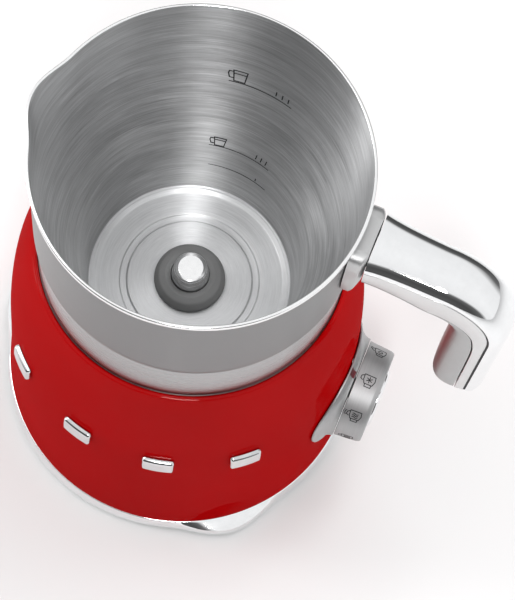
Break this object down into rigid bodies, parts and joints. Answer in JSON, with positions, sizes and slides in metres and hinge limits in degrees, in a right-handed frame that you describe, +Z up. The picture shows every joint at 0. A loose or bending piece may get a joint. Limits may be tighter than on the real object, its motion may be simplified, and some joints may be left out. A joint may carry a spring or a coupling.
{
  "type": "induction milk frother with lift-out jug",
  "caption": "Turned red base unit with a side selector knob and push button, and a lift-out steel frothing jug with a pouring lip, centre pivot and open-ended handle.",
  "frame": {"origin": "table plane, middle of the footprint box; the body axis stands 17.2 mm towards -X from it", "axes": "+Z up, +X towards the handle and the knob, -X the spout, -Y the front with the four trim bars"},
  "size_m": [0.1734, 0.1306, 0.1956],
  "materials": {
    "red_paint": "high-gloss red enamel",
    "chrome": "polished chrome",
    "brushed_steel": "brushed round the axis inside, satin outside",
    "satin_metal": "satin, fine bead finish",
    "dark_rubber": "matt",
    "black_plastic": "fine moulded grain",
    "grey_plastic": "matt moulded",
    "copper": "copper wire and sintered bronze",
    "ferrite": "sintered, matt",
    "board_green": "solder-masked board",
    "aluminium": "as machined",
    "spring_steel": "drawn wire",
    "indicator_red": "dark red, glossy"
  },
  "bodies": {
    "jug": {"jug_vessel": "brushed_steel", "hub_collar": "grey_plastic", "pin_sleeve": "satin_metal", "pivot_pin": "chrome", "handle_plate": "chrome", "handle_seam_strip": "dark_rubber", "handle_band": "satin_metal", "handle_liner": "satin_metal", "handle_bracket": "satin_metal", "handle_screw_1": "aluminium", "handle_screw_2": "aluminium"},
    "base": {"body_shell": "red_paint", "collar_ring": "satin_metal", "seat_well": "black_plastic", "base_ring": "chrome", "bottom_plate": "black_plastic", "rubber_foot_1": "dark_rubber", "rubber_foot_2": "dark_rubber", "rubber_foot_3": "dark_rubber", "housing_screw_1": "aluminium", "housing_screw_2": "aluminium", "housing_screw_3": "aluminium", "trim_bar_1": "chrome", "trim_bar_2": "chrome", "trim_bar_3": "chrome", "trim_bar_4": "chrome", "knob_bezel": "satin_metal", "indicator_mark": "indicator_red", "rotary_encoder": "black_plastic", "tact_switch": "black_plastic", "control_board": "board_green", "support_frame": "black_plastic", "motor_can": "aluminium", "lower_bearing": "copper", "upper_bearing": "copper", "stator_magnet": "ferrite", "induction_coil": "copper", "coil_carrier": "grey_plastic", "ferrite_ring": "ferrite", "probe_guide": "grey_plastic", "main_board": "board_green", "heat_sink": "aluminium", "bulk_capacitor": "black_plastic", "line_filter": "copper", "fan_frame": "black_plastic", "cord_gland": "dark_rubber", "terminal_block": "grey_plastic", "button_spring": "spring_steel", "probe_spring": "spring_steel"},
    "knob": {"knob_cap": "satin_metal", "knob_shaft": "aluminium"},
    "button": {"start_button": "chrome"},
    "probe": {"probe_tip": "aluminium"},
    "drive": {"motor_shaft": "spring_steel", "rotor_core": "copper", "magnet_carrier": "black_plastic", "drive_magnet_1": "ferrite", "drive_magnet_2": "ferrite"},
    "fan": {"fan_rotor": "grey_plastic"}
  },
  "joints": [
    {"name": "jug_lift", "type": "slide", "parent": "base", "child": "jug", "axis": [0, 0, 1], "range_m": [0, 0.07]},
    {"name": "knob_turn", "type": "hinge", "parent": "base", "child": "knob", "pos_m": [-0.0172, 0, 0.0494], "axis": [1, 0, 0], "continuous": true},
    {"name": "start_press", "type": "slide", "parent": "base", "child": "button", "axis": [-1, 0, 0], "range_m": [0, 0.0014], "stiffness_N_per_m": 600, "springref_m": -0.001, "deforming": ["button_spring"]},
    {"name": "probe_press", "type": "slide", "parent": "base", "child": "probe", "axis": [0, 0, -1], "range_m": [0, 0.0015], "stiffness_N_per_m": 300, "springref_m": -0.001, "deforming": ["probe_spring"]},
    {"name": "drive_spin", "type": "hinge", "parent": "base", "child": "drive", "pos_m": [-0.0172, 0, 0.07], "axis": [0, 0, 1], "continuous": true},
    {"name": "fan_spin", "type": "hinge", "parent": "base", "child": "fan", "pos_m": [-0.0252, 0, 0.012], "axis": [0, 0, 1], "continuous": true}
  ]
}
